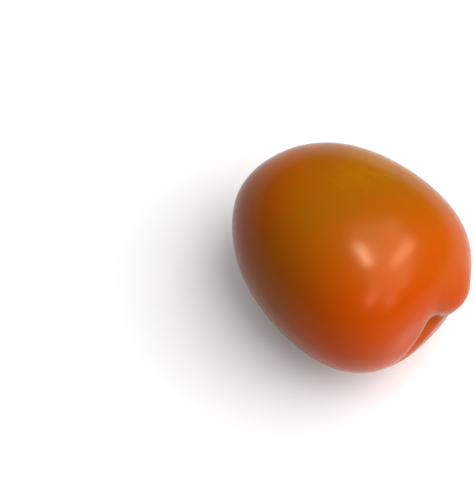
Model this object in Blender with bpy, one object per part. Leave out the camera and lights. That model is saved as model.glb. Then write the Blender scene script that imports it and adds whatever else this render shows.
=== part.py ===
"""A plum tomato, picked without its stalk, lying on its side on a small flat spot.

The fruit grew as one body, so it is one solid: a unit sphere whose poles are the two ends of the fruit,
with every vertex moved out to the skin by one formula. Run it with blender --background --python part.py,
or from Blender's text editor. Units are metres, +Z is up, and +X runs from the stem end to the blossom end.
"""

import math

import bmesh
import bpy
from mathutils import Matrix, Vector

# The body of the fruit
LENGTH = 0.0672             # from pole to pole, before the ends are dimpled
DIAMETER = 0.0545           # across the middle
BLOSSOM_FULLNESS = 0.144    # how much wider than a plain ellipsoid the blossom half is, and the stem half narrower
BLOSSOM_SHOULDER = 0.0775   # how far the rounded edge of the blossom end stands out
STEM_SHOULDER = 0.0074      # the same at the stem end
THREE_SIDED = 0.0075        # how far the three seed chambers push the sides out, as a share of the radius
CHAMBER_TURN = math.radians(62)      # where the first chamber's side is, from the top towards the front
OVAL = 0.0139               # how far the section is from round, as a share of the radius
OVAL_TURN = math.radians(110)        # where the section is widest, from the top towards the front

# The blossom end: three lobes of unequal length round a small scar, parted by three furrows.
# Turns are in degrees, from the top of the lying fruit towards its front.
BLOSSOM_OFFSET = (-0.0007, 0.0018)  # how far to the front, and up, the scar lies off the axis
LOBES = (                   # turn, height over the plain body
    (-64.0, 0.00255),
    (73.0, -0.00090),
    (179.0, -0.00020),
)
LOBE_RADIUS = 0.0090        # from the scar to the crest of a lobe
LOBE_SPREAD = 0.0065
FURROWS = (                 # turn, depth, reach from the scar, width
    (10.0, 0.00107, 0.0076, 0.0027),
    (133.0, 0.00155, 0.0127, 0.0021),
    (-138.0, 0.00045, 0.0110, 0.0033),
)
BLOSSOM_DIMPLE_DEPTH = 0.0002
BLOSSOM_DIMPLE_RADIUS = 0.0050
BLOSSOM_SCAR_HEIGHT = 0.0003
BLOSSOM_SCAR_RADIUS = 0.0010
RELIEF_FROM = 0.1           # share of the half length beyond which the relief of the blossom end rises from nothing
RELIEF_FULL = 0.5           # and beyond which it is whole

# The stem end: a shallow hollow with low ribs round it, and the corky scar of the stalk in its middle
STEM_HOLLOW_DEPTH = 0.0016
STEM_HOLLOW_RADIUS = 0.0052
STEM_RIBS = 5
STEM_RIB_HEIGHT = 0.00014
STEM_RIB_RADIUS = 0.0058
STEM_RIB_SPREAD = 0.0024
STEM_SCAR_RIM_HEIGHT = 0.00035
STEM_SCAR_RIM_RADIUS = 0.0025
STEM_SCAR_RIM_WIDTH = 0.0009
STEM_SCAR_PIT_DEPTH = 0.00045
STEM_SCAR_PIT_RADIUS = 0.0011

# Slow rises and flats in the skin: (direction from the middle, height, spread as an angle)
SWELLINGS = (
    ((-0.92, -0.366, 0.133), 0.00039, math.radians(22)),
    ((-0.92, 0.183, 0.344), -0.00050, math.radians(24)),
    ((-0.45, -0.85, -0.25), 0.00030, math.radians(28)),
    ((0.25, -0.93, -0.30), 0.00012, math.radians(28)),
    ((-0.50, 0.80, 0.32), 0.00012, math.radians(28)),
    ((0.20, 0.90, 0.38), 0.00005, math.radians(28)),
    ((0.75, 0.60, 0.25), 0.00014, math.radians(22)),
)

# How it lies
TILT = math.radians(4.4)    # the blossom end is fuller, so the axis rises a little towards it
FLAT_DEPTH = 0.00035        # how much of the round underside the flat spot takes away

# The mesh
SEGMENTS = 84               # faces round the fruit
RINGS = 56                  # faces from pole to pole
POLE_CROWDING = 0.45        # how much closer together the rings are at the ends than on average

SKIN_COLOUR = (0.62, 0.16, 0.008, 1.0)
SKIN_ROUGHNESS = 0.32


def bump(distance, radius):
    """A smooth hump of height 1, falling off with distance."""
    return math.exp(-((distance / radius) ** 2))


def body_point(direction):
    """The plain egg-shaped body in the direction of a unit vector, with no relief on it."""
    along = direction.x
    shoulder = 0.5 * (BLOSSOM_SHOULDER * (1 + along) + STEM_SHOULDER * (1 - along))
    swell = 1 + shoulder * 4 * along**2 * (1 - along**2)
    radius = 0.5 * DIAMETER * (1 + BLOSSOM_FULLNESS * along) * swell
    return Vector((0.5 * LENGTH * along * swell, radius * direction.y, radius * direction.z))


def section_factor(direction):
    """How far the section is pushed out by the three seed chambers, and by being a little oval."""
    turn = math.atan2(-direction.y, direction.z)
    roundness = direction.y**2 + direction.z**2
    chambers = THREE_SIDED * roundness**1.5 * math.cos(3 * (turn - CHAMBER_TURN))
    oval = OVAL * roundness * math.cos(2 * (turn - OVAL_TURN))
    return 1 + chambers + oval


def furrow_depth(front, up, turn_degrees, depth, reach, width):
    """How deep one furrow of the blossom end is at a point that far to the front of the scar, and above it."""
    turn = math.radians(turn_degrees)
    outward = front * math.sin(turn) + up * math.cos(turn)
    across = front * math.cos(turn) - up * math.sin(turn)
    end_reach = reach if outward > 0 else width
    return depth * bump(outward, end_reach) * bump(across, width)


def lobe_height(front, up, turn_degrees, height):
    """How high one lobe of the blossom end stands at a point that far to the front of the scar, and above it."""
    turn = math.radians(turn_degrees)
    from_crest = math.hypot(front - LOBE_RADIUS * math.sin(turn), up - LOBE_RADIUS * math.cos(turn))
    return height * bump(from_crest, LOBE_SPREAD)


def blossom_relief(point, along):
    """Height of the skin over the plain body at the blossom end."""
    front = -point.y - BLOSSOM_OFFSET[0]
    up = point.z - BLOSSOM_OFFSET[1]
    distance = math.hypot(front, up)
    height = BLOSSOM_SCAR_HEIGHT * bump(distance, BLOSSOM_SCAR_RADIUS)
    height -= BLOSSOM_DIMPLE_DEPTH * bump(distance, BLOSSOM_DIMPLE_RADIUS)
    for lobe in LOBES:
        height += lobe_height(front, up, *lobe)
    for furrow in FURROWS:
        height -= furrow_depth(front, up, *furrow)
    share = max(0.0, min(1.0, (along - RELIEF_FROM) / (RELIEF_FULL - RELIEF_FROM)))
    return height * share * share * (3 - 2 * share)


def stem_relief(point):
    """Height of the skin over the plain body at the stem end."""
    distance = math.hypot(point.y, point.z)
    turn = math.atan2(-point.y, point.z)
    rib = STEM_RIB_HEIGHT * math.cos(STEM_RIBS * turn)
    height = rib * bump(distance - STEM_RIB_RADIUS, STEM_RIB_SPREAD)
    height -= STEM_HOLLOW_DEPTH * bump(distance, STEM_HOLLOW_RADIUS)
    height += STEM_SCAR_RIM_HEIGHT * bump(distance - STEM_SCAR_RIM_RADIUS, STEM_SCAR_RIM_WIDTH)
    height -= STEM_SCAR_PIT_DEPTH * bump(distance, STEM_SCAR_PIT_RADIUS)
    return height


def swelling_height(direction):
    """The slow rises and flats of the skin in this direction."""
    height = 0.0
    for centre, rise, spread in SWELLINGS:
        angle = direction.angle(Vector(centre))
        height += rise * bump(angle, spread)
    return height


def skin_point(direction):
    """The point of the skin in the direction of a unit vector, in the fruit's own frame."""
    point = body_point(direction) * section_factor(direction)
    relief = blossom_relief(point, direction.x) if direction.x > 0 else stem_relief(point)
    relief += swelling_height(direction)
    return point * (1 + relief / point.length)


def crowd_towards_poles(vertex):
    """Moves a vertex of the unit sphere along its meridian, so that the rings are closest at the poles."""
    polar = math.acos(max(-1.0, min(1.0, vertex.co.z)))
    moved = polar - 0.5 * POLE_CROWDING * math.sin(2 * polar)
    turn = math.atan2(vertex.co.y, vertex.co.x)
    ring = math.sin(moved)
    vertex.co = (ring * math.cos(turn), ring * math.sin(turn), math.cos(moved))


def cut_flat_spot(mesh):
    """Cuts the underside off level, a little above its lowest point, and closes it with one face."""
    level = min(vertex.co.z for vertex in mesh.verts) + FLAT_DEPTH
    everything = mesh.verts[:] + mesh.edges[:] + mesh.faces[:]
    cut = bmesh.ops.bisect_plane(
        mesh, geom=everything, plane_co=(0, 0, level), plane_no=(0, 0, -1), clear_outer=True
    )
    rim = [item for item in cut["geom_cut"] if isinstance(item, bmesh.types.BMEdge)]
    bmesh.ops.contextual_create(mesh, geom=rim)
    for edge in rim:
        edge.smooth = False


def stand_on_origin(mesh):
    """Moves the mesh so that the middle of its underside, as a box would have it, is the origin."""
    low = Vector([min(vertex.co[axis] for vertex in mesh.verts) for axis in range(3)])
    high = Vector([max(vertex.co[axis] for vertex in mesh.verts) for axis in range(3)])
    bmesh.ops.translate(mesh, verts=mesh.verts, vec=(-(low.x + high.x) / 2, -(low.y + high.y) / 2, -low.z))


def make_skin_material():
    """The waxy skin, half ripe."""
    material = bpy.data.materials.new("tomato_skin")
    material.use_nodes = True
    shader = material.node_tree.nodes["Principled BSDF"]
    shader.inputs["Base Color"].default_value = SKIN_COLOUR
    shader.inputs["Roughness"].default_value = SKIN_ROUGHNESS
    shader.inputs["Metallic"].default_value = 0.0
    return material


def make_fruit(collection):
    """The whole tomato: one solid."""
    mesh = bmesh.new()
    bmesh.ops.create_uvsphere(mesh, u_segments=SEGMENTS, v_segments=RINGS, radius=1.0)
    pole_to_x = Matrix.Rotation(math.radians(90), 3, "Y")
    lying = Matrix.Rotation(-TILT, 3, "Y")
    for vertex in mesh.verts:
        crowd_towards_poles(vertex)
        direction = (pole_to_x @ vertex.co).normalized()
        vertex.co = lying @ skin_point(direction)
    for face in mesh.faces:
        face.smooth = True
    cut_flat_spot(mesh)
    stand_on_origin(mesh)
    data = bpy.data.meshes.new("fruit")
    mesh.to_mesh(data)
    mesh.free()
    data.materials.append(make_skin_material())
    fruit = bpy.data.objects.new("fruit", data)
    collection.objects.link(fruit)
    return fruit


def main():
    for item in list(bpy.data.objects):
        bpy.data.objects.remove(item)
    collection = bpy.data.collections.new("plum_tomato")
    bpy.context.scene.collection.children.link(collection)
    make_fruit(collection)


if __name__ == "__main__":
    main()
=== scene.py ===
"""The looks of a half-ripe plum tomato, lying on its side in plain soft light.

The fine skin is grown by a Geometry Nodes tree from the same sizes and the same formula as the solid of the
fruit, and is dressed with a procedural material that follows the fruit's own growth: orange-red at the
blossom end, olive round the middle, and browner towards the stem end. Shade is painted into the skin on its
lower front side and in the furrows of the blossom end.
"""

from __future__ import annotations

import logging
import math
from dataclasses import dataclass, field
from enum import Enum
from typing import Union

import bpy
from mathutils import Matrix, Vector

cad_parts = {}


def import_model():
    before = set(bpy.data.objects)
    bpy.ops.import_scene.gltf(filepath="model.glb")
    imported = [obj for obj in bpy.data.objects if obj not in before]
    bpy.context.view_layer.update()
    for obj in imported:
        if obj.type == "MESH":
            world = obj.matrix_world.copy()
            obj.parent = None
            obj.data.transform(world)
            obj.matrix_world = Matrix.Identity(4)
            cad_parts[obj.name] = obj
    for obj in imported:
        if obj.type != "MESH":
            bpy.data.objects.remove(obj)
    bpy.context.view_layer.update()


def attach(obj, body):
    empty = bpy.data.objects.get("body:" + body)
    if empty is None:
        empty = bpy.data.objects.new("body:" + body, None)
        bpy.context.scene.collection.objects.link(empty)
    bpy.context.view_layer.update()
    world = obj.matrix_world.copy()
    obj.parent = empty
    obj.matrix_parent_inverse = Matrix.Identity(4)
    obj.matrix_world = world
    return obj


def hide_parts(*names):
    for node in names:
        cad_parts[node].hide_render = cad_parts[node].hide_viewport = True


LOG = logging.getLogger("tomato")

Number = Union[float, int, "Value"]
Triple = tuple[float, float, float]

GROWN = "grown"                     # direction on the unit sphere that each point of the skin grew from
FROM_BLOSSOM = "from_blossom"       # metres from the blossom scar, seen along the axis
FROM_STEM = "from_stem"             # metres from the stem scar, seen along the axis
VALLEY = "valley"                   # how deep in a furrow, 0 to 1
FAR_OFF = 0.1                       # metres added to a distance on the half away from its scar
HALVES_MEET = 0.0001                # share of the half length over which one half hands over to the other


class Value:
    """One number socket that takes part in Python arithmetic: each operation adds a Math node."""

    def __init__(self, tree: Tree, socket: bpy.types.NodeSocket) -> None:
        """Wraps a socket.

        Args:
            tree: The tree that the socket is in.
            socket: The output socket.
        """
        self.tree = tree
        self.socket = socket

    def __add__(self, other: Number) -> Value:
        """Adds.

        Args:
            other: The other number.

        Returns:
            The sum.
        """
        return self.tree.math("ADD", self, other)

    def __radd__(self, other: Number) -> Value:
        """Adds, with this number second.

        Args:
            other: The other number.

        Returns:
            The sum.
        """
        return self.tree.math("ADD", other, self)

    def __sub__(self, other: Number) -> Value:
        """Subtracts.

        Args:
            other: The other number.

        Returns:
            The difference.
        """
        return self.tree.math("SUBTRACT", self, other)

    def __rsub__(self, other: Number) -> Value:
        """Subtracts this number from the other.

        Args:
            other: The other number.

        Returns:
            The difference.
        """
        return self.tree.math("SUBTRACT", other, self)

    def __mul__(self, other: Number) -> Value:
        """Multiplies.

        Args:
            other: The other number.

        Returns:
            The product.
        """
        return self.tree.math("MULTIPLY", self, other)

    def __rmul__(self, other: Number) -> Value:
        """Multiplies, with this number second.

        Args:
            other: The other number.

        Returns:
            The product.
        """
        return self.tree.math("MULTIPLY", other, self)

    def __truediv__(self, other: Number) -> Value:
        """Divides.

        Args:
            other: The other number.

        Returns:
            The quotient.
        """
        return self.tree.math("DIVIDE", self, other)

    def __pow__(self, other: Number) -> Value:
        """Raises to a power.

        Args:
            other: The power.

        Returns:
            The power of this number.
        """
        return self.tree.math("POWER", self, other)

    def __neg__(self) -> Value:
        """Turns the sign round.

        Returns:
            The negative.
        """
        return self.tree.math("MULTIPLY", self, -1.0)

    def clamped(self) -> Value:
        """Keeps the number between 0 and 1.

        Returns:
            The clamped number.
        """
        return self.tree.math("MINIMUM", self.tree.math("MAXIMUM", self, 0.0), 1.0)


class Tree:
    """A node tree, and the one way in which its nodes are added."""

    def __init__(self, tree: bpy.types.NodeTree) -> None:
        """Wraps a tree.

        Args:
            tree: The geometry or shader tree.
        """
        self.tree = tree

    def node(self, kind: str, inputs: dict | None = None, **settings: object) -> bpy.types.Node:
        """Adds a node.

        Args:
            kind: The node's type, such as "ShaderNodeMath".
            inputs: For each input's name or number, a value, a socket or a Value to link.
            **settings: The node's own properties, which are set first.

        Returns:
            The node.
        """
        node = self.tree.nodes.new(kind)
        for name, setting in settings.items():
            setattr(node, name, setting)
        for key, given in (inputs or {}).items():
            self.feed(node.inputs[key], given)
        return node

    def feed(self, socket: bpy.types.NodeSocket, given: object) -> None:
        """Links a socket, or sets its value.

        Args:
            socket: The input socket.
            given: A Value, a socket, or a plain value.
        """
        if isinstance(given, Value):
            given = given.socket
        if isinstance(given, bpy.types.NodeSocket):
            self.tree.links.new(given, socket)
        else:
            socket.default_value = given

    def math(self, operation: str, *numbers: Number) -> Value:
        """Adds a Math node.

        Args:
            operation: The node's operation.
            *numbers: Its operands.

        Returns:
            Its result.
        """
        node = self.node("ShaderNodeMath", dict(enumerate(numbers)), operation=operation)
        return Value(self, node.outputs[0])

    def vector_math(self, operation: str, *vectors: object) -> bpy.types.NodeSocket:
        """Adds a Vector Math node.

        Args:
            operation: The node's operation.
            *vectors: Its operands.

        Returns:
            Its vector.
        """
        node = self.node("ShaderNodeVectorMath", dict(enumerate(vectors)), operation=operation)
        return node.outputs["Vector"]

    def dot(self, first: object, second: object) -> Value:
        """The dot product of two vectors.

        Args:
            first: A vector.
            second: The other vector.

        Returns:
            The product.
        """
        node = self.node("ShaderNodeVectorMath", {0: first, 1: second}, operation="DOT_PRODUCT")
        return Value(self, node.outputs["Value"])

    def scaled(self, vector: object, factor: Number) -> bpy.types.NodeSocket:
        """A vector times a number.

        Args:
            vector: The vector.
            factor: The number.

        Returns:
            The longer or shorter vector.
        """
        node = self.node("ShaderNodeVectorMath", {0: vector, "Scale": factor}, operation="SCALE")
        return node.outputs["Vector"]

    def length(self, vector: object) -> Value:
        """The length of a vector.

        Args:
            vector: The vector.

        Returns:
            Its length.
        """
        node = self.node("ShaderNodeVectorMath", {0: vector}, operation="LENGTH")
        return Value(self, node.outputs["Value"])

    def combine(self, x: Number, y: Number, z: Number) -> bpy.types.NodeSocket:
        """A vector from its three parts.

        Args:
            x: The first part.
            y: The second.
            z: The third.

        Returns:
            The vector.
        """
        return self.node("ShaderNodeCombineXYZ", {0: x, 1: y, 2: z}).outputs[0]

    def split(self, vector: object) -> tuple[Value, Value, Value]:
        """The three parts of a vector.

        Args:
            vector: The vector.

        Returns:
            The parts, in order.
        """
        node = self.node("ShaderNodeSeparateXYZ", {0: vector})
        return tuple(Value(self, output) for output in node.outputs)

    def hypot(self, first: Number, second: Number) -> Value:
        """The long side of a right-angled triangle.

        Args:
            first: One short side.
            second: The other.

        Returns:
            The long side.
        """
        return self.math("SQRT", first * first + second * second)

    def bump(self, distance: Number, radius: Number) -> Value:
        """A smooth hump of height 1, falling off with distance.

        Args:
            distance: How far a point is from the middle of the hump.
            radius: How far the hump spreads.

        Returns:
            The height.
        """
        share = distance / radius
        return self.math("EXPONENT", -(share * share))

    def step(self, number: Number, low: float, high: float) -> Value:
        """A smooth rise.

        Args:
            number: What is compared.
            low: Where the rise starts.
            high: Where it ends.

        Returns:
            0 up to low, 1 from high on.
        """
        node = self.node(
            "ShaderNodeMapRange",
            {"Value": number, "From Min": low, "From Max": high},
            interpolation_type="SMOOTHSTEP",
        )
        return Value(self, node.outputs["Result"])

    def noise(self, vector: object, scale: float, detail: float = 2.0, roughness: float = 0.5) -> Value:
        """A noise over a vector.

        Args:
            vector: The place.
            scale: How many lumps there are to a unit.
            detail: How many finer layers it has.
            roughness: How strong the finer layers are.

        Returns:
            0 to 1.
        """
        inputs = {"Vector": vector, "Scale": scale, "Detail": detail, "Roughness": roughness}
        node = self.node("ShaderNodeTexNoise", inputs, noise_dimensions="3D")
        return Value(self, node.outputs[0])


@dataclass(frozen=True)
class Lobe:
    """One lobe of the blossom end."""

    turn: float      # degrees from the top of the lying fruit towards its front
    height: float    # metres over the plain body


@dataclass(frozen=True)
class Furrow:
    """One furrow between two lobes, from the blossom scar outwards."""

    turn: float      # degrees from the top towards the front
    depth: float
    reach: float
    width: float


@dataclass(frozen=True)
class Swelling:
    """A slow rise or flat in the skin."""

    toward: Triple   # direction from the middle of the fruit
    height: float
    spread: float    # degrees


@dataclass
class FruitForm:
    """The sizes of the fruit, in metres and degrees, and the tree that grows its skin from them."""

    length: float = 0.0672
    diameter: float = 0.0545
    blossom_fullness: float = 0.144
    blossom_shoulder: float = 0.0775
    stem_shoulder: float = 0.0074
    three_sided: float = 0.0075
    chamber_turn: float = 62.0
    oval: float = 0.0139
    oval_turn: float = 110.0
    blossom_offset: tuple[float, float] = (-0.0007, 0.0018)
    lobes: tuple[Lobe, ...] = (Lobe(-64.0, 0.00255), Lobe(73.0, -0.00090), Lobe(179.0, -0.00020))
    lobe_radius: float = 0.0090
    lobe_spread: float = 0.0065
    furrows: tuple[Furrow, ...] = (
        Furrow(10.0, 0.00107, 0.0076, 0.0027),
        Furrow(133.0, 0.00155, 0.0127, 0.0021),
        Furrow(-138.0, 0.00045, 0.0110, 0.0033),
    )
    blossom_dimple_depth: float = 0.0002
    blossom_dimple_radius: float = 0.0050
    blossom_scar_height: float = 0.0003
    blossom_scar_radius: float = 0.0010
    relief_from: float = 0.1
    relief_full: float = 0.5
    stem_hollow_depth: float = 0.0016
    stem_hollow_radius: float = 0.0052
    stem_ribs: int = 5
    stem_rib_height: float = 0.00014
    stem_rib_radius: float = 0.0058
    stem_rib_spread: float = 0.0024
    stem_scar_rim_height: float = 0.00035
    stem_scar_rim_radius: float = 0.0025
    stem_scar_rim_width: float = 0.0009
    stem_scar_pit_depth: float = 0.00045
    stem_scar_pit_radius: float = 0.0011
    swellings: tuple[Swelling, ...] = (
        Swelling((-0.92, -0.366, 0.133), 0.00039, 22.0),
        Swelling((-0.92, 0.183, 0.344), -0.00050, 24.0),
        Swelling((-0.45, -0.85, -0.25), 0.00030, 28.0),
        Swelling((0.25, -0.93, -0.30), 0.00012, 28.0),
        Swelling((-0.50, 0.80, 0.32), 0.00012, 28.0),
        Swelling((0.20, 0.90, 0.38), 0.00005, 28.0),
        Swelling((0.75, 0.60, 0.25), 0.00014, 22.0),
    )
    tilt: float = 4.4
    flat_depth: float = 0.00035
    flat_rounding: float = 0.00025     # how softly the skin meets the flat spot
    waviness: float = 0.00005          # height of the slow unevenness of the fine skin
    waves: float = 3.2                 # how many lumps of it there are to a unit of the sphere
    wave_detail: float = 1.5
    inset: float = 0.00003             # how far inside the solid's skin the fine skin lies
    segments: int = 320
    rings: int = 240
    pole_crowding: float = 0.35
    sizes: dict[str, Value] = field(default_factory=dict)

    def grow(self, name: str, material: bpy.types.Material) -> bpy.types.Object:
        """Grows the skin as a plain mesh.

        Args:
            name: The name of the piece.
            material: Its material.

        Returns:
            The object, with its place in its mesh and no modifier left.
        """
        fruit = bpy.data.objects.new(name, bpy.data.meshes.new(name))
        bpy.context.scene.collection.objects.link(fruit)
        group, given = self.make_group(material)
        modifier = fruit.modifiers.new("grow", "NODES")
        modifier.node_group = group
        for identifier, number in given.items():
            modifier[identifier] = number
        graph = bpy.context.evaluated_depsgraph_get()
        mesh = bpy.data.meshes.new_from_object(fruit.evaluated_get(graph))
        fruit.modifiers.clear()
        fruit.data = mesh
        mesh.name = name
        return fruit

    def make_group(self, material: bpy.types.Material) -> tuple[bpy.types.NodeTree, dict[str, object]]:
        """Makes the tree, with a named input for each main size.

        Args:
            material: The skin's material.

        Returns:
            The tree, and the value of each of its inputs by the socket's identifier.
        """
        group = bpy.data.node_groups.new("grow_fruit", "GeometryNodeTree")
        tree = Tree(group)
        named = {
            "Length": self.length,
            "Diameter": self.diameter,
            "Blossom Fullness": self.blossom_fullness,
            "Blossom Shoulder": self.blossom_shoulder,
            "Stem Shoulder": self.stem_shoulder,
            "Stem Hollow Depth": self.stem_hollow_depth,
            "Stem Rib Height": self.stem_rib_height,
            "Waviness": self.waviness,
            "Inset": self.inset,
            "Tilt": math.radians(self.tilt),
            "Flat Depth": self.flat_depth,
        }
        given = {}
        for label, number in named.items():
            socket = group.interface.new_socket(name=label, in_out="INPUT", socket_type="NodeSocketFloat")
            given[socket.identifier] = number
        group.interface.new_socket(name="Geometry", in_out="OUTPUT", socket_type="NodeSocketGeometry")
        entry = tree.node("NodeGroupInput")
        self.sizes = {label: Value(tree, entry.outputs[label]) for label in named}

        sphere = tree.node(
            "GeometryNodeMeshUVSphere", {"Segments": self.segments, "Rings": self.rings, "Radius": 1.0}
        )
        direction, turn = self.direction(tree)
        marked = self.store(tree, sphere.outputs["Mesh"], GROWN, direction, "FLOAT_VECTOR")
        point, marks = self.skin_point(tree, direction, turn)
        for label, mark in marks.items():
            marked = self.store(tree, marked, label, mark, "FLOAT")
        grown = tree.node("GeometryNodeSetPosition", {"Geometry": marked, "Position": point})
        placed = self.lay_down(tree, grown.outputs["Geometry"])
        smooth = tree.node("GeometryNodeSetShadeSmooth", {"Geometry": placed})
        real = tree.node("GeometryNodeRealizeInstances", {"Geometry": smooth.outputs["Geometry"]})
        dressed = tree.node(
            "GeometryNodeSetMaterial", {"Geometry": real.outputs["Geometry"], "Material": material}
        )
        tree.node("NodeGroupOutput", {"Geometry": dressed.outputs["Geometry"]})
        return group, given

    def store(
        self, tree: Tree, geometry: object, label: str, mark: object, kind: str
    ) -> bpy.types.NodeSocket:
        """Stores a named attribute on the points.

        Args:
            tree: The tree.
            geometry: The geometry socket.
            label: The attribute's name.
            mark: What is stored.
            kind: The attribute's data type.

        Returns:
            The geometry socket after it.
        """
        node = tree.node("GeometryNodeStoreNamedAttribute", data_type=kind, domain="POINT")
        tree.feed(node.inputs["Geometry"], geometry)
        tree.feed(node.inputs["Name"], label)
        tree.feed(node.inputs["Value"], mark)
        return node.outputs["Geometry"]

    def direction(self, tree: Tree) -> tuple[bpy.types.NodeSocket, Value]:
        """The direction that each point of the sphere stands for, with the rings crowded at the ends.

        Args:
            tree: The tree.

        Returns:
            The unit vector, whose X is along the fruit, and the turn from the top towards the front.
        """
        x, y, z = tree.split(tree.node("GeometryNodeInputPosition").outputs[0])
        polar = tree.math("ARCCOSINE", tree.math("MINIMUM", tree.math("MAXIMUM", z, -1.0), 1.0))
        polar = polar - 0.5 * self.pole_crowding * tree.math("SINE", 2.0 * polar)
        turn = tree.math("ARCTAN2", y, x)
        ring = tree.math("SINE", polar)
        front = ring * tree.math("SINE", turn)
        up = ring * tree.math("COSINE", turn)
        return tree.combine(tree.math("COSINE", polar), -front, up), turn

    def skin_point(
        self, tree: Tree, direction: bpy.types.NodeSocket, turn: Value
    ) -> tuple[bpy.types.NodeSocket, dict[str, Value]]:
        """Where the skin is in each direction, in the fruit's own frame.

        Args:
            tree: The tree.
            direction: The unit vector.
            turn: The turn from the top towards the front.

        Returns:
            The point, and the marks that the material reads.
        """
        along, side, up = tree.split(direction)
        size = self.sizes
        shoulder = 0.5 * (size["Blossom Shoulder"] * (1 + along) + size["Stem Shoulder"] * (1 - along))
        swell = 1 + shoulder * 4 * along * along * (1 - along * along)
        radius = 0.5 * size["Diameter"] * (1 + size["Blossom Fullness"] * along) * swell
        section = self.section_factor(tree, side, up, turn)
        body = tree.combine(
            0.5 * size["Length"] * along * swell * section, radius * side * section, radius * up * section
        )
        _, body_side, body_up = tree.split(body)
        blossom_side = tree.step(along, 0.0, HALVES_MEET)
        stem_distance = tree.hypot(body_side, body_up)
        blossom, blossom_distance, valley = self.blossom_relief(tree, body_side, body_up, along)
        relief = blossom * blossom_side + self.stem_relief(tree, stem_distance, turn) * (1 - blossom_side)
        relief = relief + self.swelling_height(tree, direction)
        relief = relief + size["Waviness"] * (2 * tree.noise(direction, self.waves, self.wave_detail) - 1)
        relief = relief - size["Inset"]
        point = tree.scaled(body, 1 + relief / tree.length(body))
        marks = {
            FROM_BLOSSOM: blossom_distance + FAR_OFF * (1 - blossom_side),
            FROM_STEM: stem_distance + FAR_OFF * blossom_side,
            VALLEY: valley,
        }
        return point, marks

    def section_factor(self, tree: Tree, side: Value, up: Value, turn: Value) -> Value:
        """How far the section is pushed out by the three seed chambers, and by being a little oval.

        Args:
            tree: The tree.
            side: The direction's part towards the back.
            up: Its part upwards.
            turn: The turn from the top towards the front.

        Returns:
            The factor.
        """
        roundness = side * side + up * up
        chambers = tree.math("COSINE", 3 * (turn - math.radians(self.chamber_turn)))
        oval = tree.math("COSINE", 2 * (turn - math.radians(self.oval_turn)))
        return 1 + self.three_sided * roundness ** 1.5 * chambers + self.oval * roundness * oval

    def blossom_relief(self, tree: Tree, side: Value, up: Value, along: Value) -> tuple[Value, Value, Value]:
        """Height of the skin over the plain body at the blossom end.

        Args:
            tree: The tree.
            side: Metres from the axis towards the back.
            up: Metres from the axis upwards.
            along: The direction's share along the axis.

        Returns:
            The height, the distance from the blossom scar, and how deep in a furrow a point is.
        """
        front = -side - self.blossom_offset[0]
        above = up - self.blossom_offset[1]
        distance = tree.hypot(front, above)
        height = self.blossom_scar_height * tree.bump(distance, self.blossom_scar_radius)
        height = height - self.blossom_dimple_depth * tree.bump(distance, self.blossom_dimple_radius)
        for lobe in self.lobes:
            turn = math.radians(lobe.turn)
            from_crest = tree.hypot(
                front - self.lobe_radius * math.sin(turn), above - self.lobe_radius * math.cos(turn)
            )
            height = height + lobe.height * tree.bump(from_crest, self.lobe_spread)
        valley = None
        for furrow in self.furrows:
            turn = math.radians(furrow.turn)
            outward = front * math.sin(turn) + above * math.cos(turn)
            across = front * math.cos(turn) - above * math.sin(turn)
            outside = tree.math("GREATER_THAN", outward, 0.0)
            reach = furrow.reach * outside + furrow.width * (1 - outside)
            share = tree.bump(outward, reach) * tree.bump(across, furrow.width)
            height = height - furrow.depth * share
            valley = share if valley is None else valley + share
        fade = tree.step(along, self.relief_from, self.relief_full)
        return height * fade, distance, valley * fade

    def stem_relief(self, tree: Tree, distance: Value, turn: Value) -> Value:
        """Height of the skin over the plain body at the stem end.

        Args:
            tree: The tree.
            distance: Metres from the axis.
            turn: The turn from the top towards the front.

        Returns:
            The height.
        """
        rib = self.sizes["Stem Rib Height"] * tree.math("COSINE", self.stem_ribs * turn)
        height = rib * tree.bump(distance - self.stem_rib_radius, self.stem_rib_spread)
        height = height - self.sizes["Stem Hollow Depth"] * tree.bump(distance, self.stem_hollow_radius)
        rim = tree.bump(distance - self.stem_scar_rim_radius, self.stem_scar_rim_width)
        height = height + self.stem_scar_rim_height * rim
        return height - self.stem_scar_pit_depth * tree.bump(distance, self.stem_scar_pit_radius)

    def swelling_height(self, tree: Tree, direction: bpy.types.NodeSocket) -> Value:
        """The slow rises and flats of the skin.

        Args:
            tree: The tree.
            direction: The unit vector.

        Returns:
            The height in this direction.
        """
        height = None
        for swelling in self.swellings:
            centre = Vector(swelling.toward).normalized()
            near = tree.math("MINIMUM", tree.dot(direction, centre), 1.0)
            hump = swelling.height * tree.bump(tree.math("ARCCOSINE", near), math.radians(swelling.spread))
            height = hump if height is None else height + hump
        return height

    def lay_down(self, tree: Tree, geometry: bpy.types.NodeSocket) -> bpy.types.NodeSocket:
        """Tilts the fruit, stands it over the origin, and presses its underside flat where it rests.

        Args:
            tree: The tree.
            geometry: The fruit in its own frame.

        Returns:
            The fruit in the part's frame.
        """
        x, y, z = tree.split(tree.node("GeometryNodeInputPosition").outputs[0])
        cosine = tree.math("COSINE", self.sizes["Tilt"])
        sine = tree.math("SINE", self.sizes["Tilt"])
        tilted = tree.node(
            "GeometryNodeSetPosition",
            {"Geometry": geometry, "Position": tree.combine(x * cosine - z * sine, y, x * sine + z * cosine)},
        )
        box = tree.node("GeometryNodeBoundBox", {"Geometry": tilted.outputs["Geometry"]})
        low_x, low_y, low_z = tree.split(box.outputs["Min"])
        high_x, high_y, _ = tree.split(box.outputs["Max"])
        offset = tree.combine(
            -0.5 * (low_x + high_x), -0.5 * (low_y + high_y), -low_z - self.sizes["Flat Depth"]
        )
        stood = tree.node(
            "GeometryNodeSetPosition", {"Geometry": tilted.outputs["Geometry"], "Offset": offset}
        )
        x, y, z = tree.split(tree.node("GeometryNodeInputPosition").outputs[0])
        pressed = tree.math("SMOOTH_MAX", z, 0.0, self.flat_rounding)
        flat = tree.node(
            "GeometryNodeSetPosition",
            {"Geometry": stood.outputs["Geometry"], "Position": tree.combine(x, y, pressed)},
        )
        return flat.outputs["Geometry"]


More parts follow.
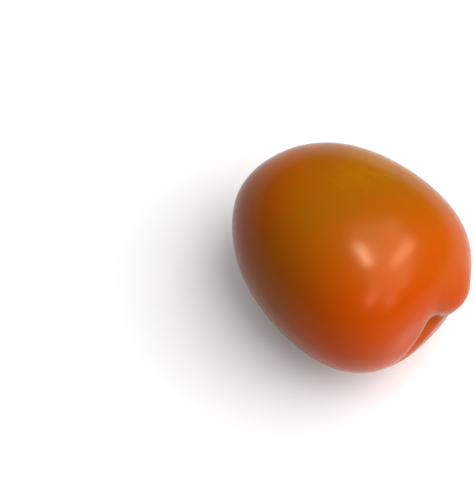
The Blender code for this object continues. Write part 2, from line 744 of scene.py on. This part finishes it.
class Ripeness(Enum):
    """The stages that the colour of the skin goes through, as (place on the scale, linear colour)."""

    OLIVE = (0.00, (0.385, 0.132, 0.0005))
    OLIVE_BROWN = (0.25, (0.360, 0.100, 0.0004))
    BROWN_ORANGE = (0.50, (0.420, 0.088, 0.0004))
    ORANGE = (0.75, (0.480, 0.077, 0.0004))
    ORANGE_RED = (1.00, (0.525, 0.061, 0.0004))


@dataclass(frozen=True)
class TomatoSkin:
    """The waxy, half-ripe skin, with the corky scar of the stalk and the small scar of the blossom, and with
    shade painted on its lower front side and in its furrows.
    """

    slot: str = "tomato_skin"
    girdle: float = 0.20               # ripeness round the middle, where the skin stayed olive
    blossom_gain: float = 0.75         # how much riper it gets towards the blossom end
    blossom_reach: tuple[float, float] = (-0.15, 0.90)
    stem_gain: float = 0.28            # how much browner it gets towards the stem end
    stem_reach: tuple[float, float] = (0.05, 0.70)
    front_gain: float = 0.28           # how much riper its front is
    # painted shade: the lower front side, towards the stem end, is made darker as if less light fell there
    painted_shade_way: Triple = (-0.42, -0.80, -0.40)   # the side on which shade is painted into the skin, making it darker
    painted_shade_share: float = 0.56
    painted_shade_reach: tuple[float, float] = (-0.20, 0.80)
    blotch_gain: float = 0.16
    blotch_scale: float = 1.7
    mottle_gain: float = 0.26
    mottle_scale: float = 6.5
    streak_gain: float = 0.26
    streak_scale: float = 1.6
    streak_squeeze: Triple = (1.4, 9.0, 9.0)   # streaks run from end to end
    speckle_gain: float = 0.16
    speckle_scale: float = 34.0
    ragged_painted_shade: float = 0.25          # how far the blotches shift the edge of the painted shade
    furrow_painted_shade_share: float = 0.30         # how much of the brown is painted into the furrows as shade
    gloss: float = 0.12                # the share of the plain reflection, 0.5 being all of it
    gloss_tint: Triple = (1.0, 0.70, 0.42)
    roughness: float = 0.23
    roughness_change: float = 0.05
    roughness_scale: float = 9.0
    ior: float = 1.45
    subsurface_weight: float = 0.08
    subsurface_radius: Triple = (1.0, 0.20, 0.02)
    subsurface_scale: float = 0.002
    grain: float = 0.000004            # height of the fine grain of the skin, in metres
    grain_scale: float = 40.0
    bump_strength: float = 0.6
    cork: Triple = (0.36, 0.22, 0.10)
    cork_dark: Triple = (0.13, 0.07, 0.03)
    # the brown of the blossom scar, also painted into the furrows as shade
    scar_and_painted_shade_brown: Triple = (0.20, 0.10, 0.02)
    cork_radius: float = 0.0030
    cork_edge: float = 0.86            # where the edge of the cork starts, as a share of its radius
    cork_ragged: float = 0.0012        # how far that edge wanders, in metres
    cork_ragged_scale: float = 26.0
    cork_fleck_scale: float = 70.0
    cork_roughness: float = 0.85
    cork_height: float = 0.00025
    cork_height_scale: float = 60.0
    blossom_scar_radius: float = 0.0013
    blossom_scar_edge: float = 0.4
    blossom_scar_share: float = 0.85

    def build(self) -> bpy.types.Material:
        """Makes the material.

        Returns:
            The material.
        """
        material = bpy.data.materials.new("tomato_skin_half_ripe")
        material.use_nodes = True
        material.node_tree.nodes.clear()
        tree = Tree(material.node_tree)
        grown = tree.node("ShaderNodeAttribute", attribute_name=GROWN).outputs["Vector"]
        from_stem, from_blossom, valley = (
            Value(tree, tree.node("ShaderNodeAttribute", attribute_name=label).outputs["Fac"])
            for label in (FROM_STEM, FROM_BLOSSOM, VALLEY)
        )
        colour = self.skin_colour(tree, grown)
        wander = self.cork_ragged * (tree.noise(grown, self.cork_ragged_scale, detail=3.0) - 0.5)
        cork_mask = 1 - tree.step(from_stem + wander, self.cork_radius * self.cork_edge, self.cork_radius)
        flecks = tree.noise(grown, self.cork_fleck_scale, detail=4.0, roughness=0.65)
        cork = self.mix(tree, flecks, self.cork_dark, self.cork)
        colour = self.mix(tree, cork_mask, colour, cork)
        # painted shade: the furrows are darkened with the brown of the scar
        colour = self.mix(tree, self.furrow_painted_shade_share * valley.clamped(), colour, self.scar_and_painted_shade_brown)
        scar_edge = self.blossom_scar_radius * self.blossom_scar_edge
        scar_mask = 1 - tree.step(from_blossom, scar_edge, self.blossom_scar_radius)
        colour = self.mix(tree, scar_mask * self.blossom_scar_share, colour, self.scar_and_painted_shade_brown)
        uneven = tree.noise(grown, self.roughness_scale, detail=3.0) - 0.5
        roughness = self.roughness + self.roughness_change * uneven
        roughness = roughness * (1 - cork_mask) + self.cork_roughness * cork_mask
        crumbs = tree.noise(grown, self.cork_height_scale, detail=4.0, roughness=0.7)
        height = self.grain * tree.noise(grown, self.grain_scale) + self.cork_height * cork_mask * crumbs
        bump = tree.node(
            "ShaderNodeBump", {"Strength": self.bump_strength, "Distance": 1.0, "Height": height}
        )
        shader = tree.node(
            "ShaderNodeBsdfPrincipled",
            {
                "Base Color": colour,
                "Roughness": roughness,
                "Metallic": 0.0,
                "IOR": self.ior,
                "Specular IOR Level": self.gloss,
                "Specular Tint": (*self.gloss_tint, 1.0),
                "Subsurface Weight": self.subsurface_weight,
                "Subsurface Radius": self.subsurface_radius,
                "Subsurface Scale": self.subsurface_scale,
                "Normal": bump.outputs["Normal"],
            },
        )
        tree.node("ShaderNodeOutputMaterial", {"Surface": shader.outputs["BSDF"]})
        return material

    def skin_colour(self, tree: Tree, grown: bpy.types.NodeSocket) -> bpy.types.NodeSocket:
        """The colour of the skin away from its scars, darkened by painted shade on its lower front side.

        Args:
            tree: The material's tree.
            grown: The direction that a point grew from.

        Returns:
            The colour socket.
        """
        along, side, _ = tree.split(grown)
        blotch = tree.noise(grown, self.blotch_scale) - 0.5
        mottle = tree.noise(grown, self.mottle_scale, detail=3.0, roughness=0.55) - 0.5
        stretched = tree.vector_math("MULTIPLY", grown, self.streak_squeeze)
        streak = tree.noise(stretched, self.streak_scale) - 0.5
        speckle = tree.noise(grown, self.speckle_scale) - 0.5
        ripe = self.girdle + self.blossom_gain * tree.step(along, *self.blossom_reach)
        ripe = ripe + self.stem_gain * tree.step(-along, *self.stem_reach) - self.front_gain * side
        ripe = ripe + self.blotch_gain * blotch + self.mottle_gain * mottle + self.streak_gain * streak
        ripe = ripe + self.speckle_gain * speckle
        ramp = tree.node("ShaderNodeValToRGB", {"Fac": ripe.clamped()})
        elements = ramp.color_ramp.elements
        stages = list(Ripeness)
        while len(elements) < len(stages):
            elements.new(0.5)
        for element, stage in zip(elements, stages):
            element.position = stage.value[0]
            element.color = (*stage.value[1], 1.0)
        ramp.color_ramp.interpolation = "EASE"
        # painted shade: darkens the lower front side, towards the stem end
        painted_shade_mask = tree.step(tree.dot(grown, self.painted_shade_way) + self.ragged_painted_shade * blotch, *self.painted_shade_reach)
        return tree.scaled(ramp.outputs["Color"], 1 - self.painted_shade_share * painted_shade_mask)

    def mix(self, tree: Tree, factor: Number, first: object, second: object) -> bpy.types.NodeSocket:
        """Mixes two colours.

        Args:
            tree: The material's tree.
            factor: 0 for the first, 1 for the second.
            first: A colour socket or a linear colour.
            second: A colour socket or a linear colour.

        Returns:
            The mixed colour.
        """
        # The node has sockets for numbers and vectors too, so those for colours go by their places in it
        node = tree.node("ShaderNodeMix", data_type="RGBA")
        tree.feed(node.inputs[0], factor)
        for socket, colour in ((node.inputs[6], first), (node.inputs[7], second)):
            tree.feed(socket, (*colour, 1.0) if isinstance(colour, tuple) else colour)
        return node.outputs[2]


@dataclass
class Tomato:
    """The whole fruit: one piece, which stands for the solid."""

    form: FruitForm = field(default_factory=FruitForm)
    skin: TomatoSkin = field(default_factory=TomatoSkin)

    def build(self) -> bpy.types.Object:
        """Grows and dresses the fruit.

        Returns:
            The finished piece.
        """
        fruit = self.form.grow("tomato", self.skin.build())
        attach(fruit, "root")
        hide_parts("fruit")
        return fruit


@dataclass
class Floor:
    """A plain pale floor."""

    half_size: float = 1.5
    colour: Triple = (0.90, 0.90, 0.90)
    roughness: float = 0.8
    gloss: float = 0.2

    def build(self) -> bpy.types.Object:
        """Makes the floor.

        Returns:
            The floor.
        """
        side = self.half_size
        mesh = bpy.data.meshes.new("floor")
        corners = [(-side, -side, 0.0), (side, -side, 0.0), (side, side, 0.0), (-side, side, 0.0)]
        mesh.from_pydata(corners, [], [(0, 1, 2, 3)])
        floor = bpy.data.objects.new("floor", mesh)
        bpy.context.scene.collection.objects.link(floor)
        material = bpy.data.materials.new("pale_floor")
        material.use_nodes = True
        shader = material.node_tree.nodes["Principled BSDF"]
        shader.inputs["Base Color"].default_value = (*self.colour, 1.0)
        shader.inputs["Roughness"].default_value = self.roughness
        shader.inputs["Specular IOR Level"].default_value = self.gloss
        mesh.materials.append(material)
        return floor


@dataclass
class PhotoCamera:
    """A camera at the photograph's viewing angle, aimed at the middle of its frame."""

    azimuth: float = 34.19
    elevation: float = 64.0
    distance: float = 0.300
    lens_pixels: float = 1094.3        # focal length in pixels of the long side of the frame
    frame_pixels: float = 500.0
    sensor: float = 36.0
    target: Triple = (-0.00103, 0.00005, 0.0269)
    aim_left: float = 0.02798
    aim_down: float = 0.00614
    clip_start: float = 0.01

    def build(self) -> bpy.types.Object:
        """Makes the camera and gives it to the scene.

        Returns:
            The camera.
        """
        turn, rise = math.radians(self.azimuth), math.radians(self.elevation)
        back = Vector((math.sin(turn) * math.cos(rise), -math.cos(turn) * math.cos(rise), math.sin(rise)))
        target = Vector(self.target)
        eye = target + back * self.distance
        right = (-back).cross(Vector((0.0, 0.0, 1.0))).normalized()
        up = right.cross(-back)
        aim = target - right * self.aim_left - up * self.aim_down
        data = bpy.data.cameras.new("photo_camera")
        data.sensor_width = self.sensor
        data.lens = self.lens_pixels / self.frame_pixels * self.sensor
        data.clip_start = self.clip_start
        camera = bpy.data.objects.new("photo_camera", data)
        camera.location = eye
        camera.rotation_mode = "QUATERNION"
        camera.rotation_quaternion = (aim - eye).to_track_quat("-Z", "Y")
        bpy.context.scene.collection.objects.link(camera)
        bpy.context.scene.camera = camera
        return camera


@dataclass(frozen=True)
class SoftLamp:
    """One rectangular lamp that faces the fruit."""

    name: str
    toward: Triple                     # from the fruit to the lamp
    long_way: Triple                   # the direction of its long side
    size: tuple[float, float]
    radiance: float
    distance: float = 0.7
    mirrored: bool = True              # whether gloss shows it
    lighting: bool = True              # whether it lights what is matt
    aim: Triple = (0.012, -0.005, 0.050)

    def build(self) -> bpy.types.Object:
        """Makes the lamp.

        Returns:
            The lamp.
        """
        data = bpy.data.lights.new(self.name, "AREA")
        data.shape = "RECTANGLE"
        data.size, data.size_y = self.size
        data.energy = self.radiance * math.pi * self.size[0] * self.size[1]
        lamp = bpy.data.objects.new(self.name, data)
        back = Vector(self.toward).normalized()
        side = Vector(self.long_way)
        side = (side - back * side.dot(back)).normalized()
        turn = Matrix((side, back.cross(side), back)).transposed()
        lamp.matrix_world = Matrix.Translation(Vector(self.aim) + back * self.distance) @ turn.to_4x4()
        lamp.visible_glossy = self.mirrored
        lamp.visible_diffuse = self.lighting
        bpy.context.scene.collection.objects.link(lamp)
        return lamp


@dataclass
class Studio:
    """A soft lamp overhead, an even surround, and the panes of a window that only the gloss shows."""

    surround: float = 0.45             # radiance all round, which gloss doesn't show
    bright_side: Triple = (0.80, 0.50, 0.33)
    bright_gain: float = 0.36          # how much brighter the surround is on its bright side
    bright_reach: tuple[float, float] = (-0.2, 1.0)
    lamps: tuple[SoftLamp, ...] = (
        SoftLamp("overhead", (0.34, 0.32, 0.88), (1.0, 0.0, 0.0), (0.9, 0.9), 3.0, 0.85, mirrored=False),
        SoftLamp(
            "window_left", (-0.05, -0.19, 0.96), (0.586, -0.21, 0.0), (0.25, 0.10), 70.0, lighting=False
        ),
        SoftLamp(
            "window_right", (0.36, 0.33, 0.86), (0.146, -0.523, 0.128), (0.44, 0.14), 22.0, lighting=False
        ),
        SoftLamp(
            "window_glow", (0.33, 0.06, 0.94), (0.91, -0.41, 0.0), (1.25, 0.75), 7.0, 0.75, lighting=False
        ),
        SoftLamp(
            "window_low_left", (0.58, -0.566, 0.586), (0.5, 0.5, 0.0), (0.12, 0.16), 12.0, lighting=False
        ),
        SoftLamp(
            "window_low_right", (0.86, -0.25, 0.42), (0.5, 0.5, 0.0), (0.12, 0.16), 12.0, lighting=False
        ),
    )

    def build(self) -> None:
        """Makes the lamps and the surround."""
        for lamp in self.lamps:
            lamp.build()
        world = bpy.data.worlds.new("surround")
        bpy.context.scene.world = world
        world.use_nodes = True
        world.cycles_visibility.glossy = False
        world.node_tree.nodes.clear()
        tree = Tree(world.node_tree)
        direction = tree.node("ShaderNodeTexCoord").outputs["Generated"]
        facing = tree.dot(direction, Vector(self.bright_side).normalized())
        strength = self.surround + self.bright_gain * tree.step(facing, *self.bright_reach)
        shader = tree.node("ShaderNodeBackground", {"Color": (1.0, 1.0, 1.0, 1.0), "Strength": strength})
        tree.node("ShaderNodeOutputWorld", {"Surface": shader.outputs["Background"]})
        bpy.context.scene.view_settings.view_transform = "Standard"


def main() -> None:
    """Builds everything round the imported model."""
    logging.basicConfig(level=logging.INFO, format="%(message)s")
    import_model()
    PhotoCamera().build()
    fruit = Tomato().build()
    LOG.info("%s: %d faces", fruit.name, len(fruit.data.polygons))
    Floor().build()
    Studio().build()


if __name__ == "__main__":
    main()
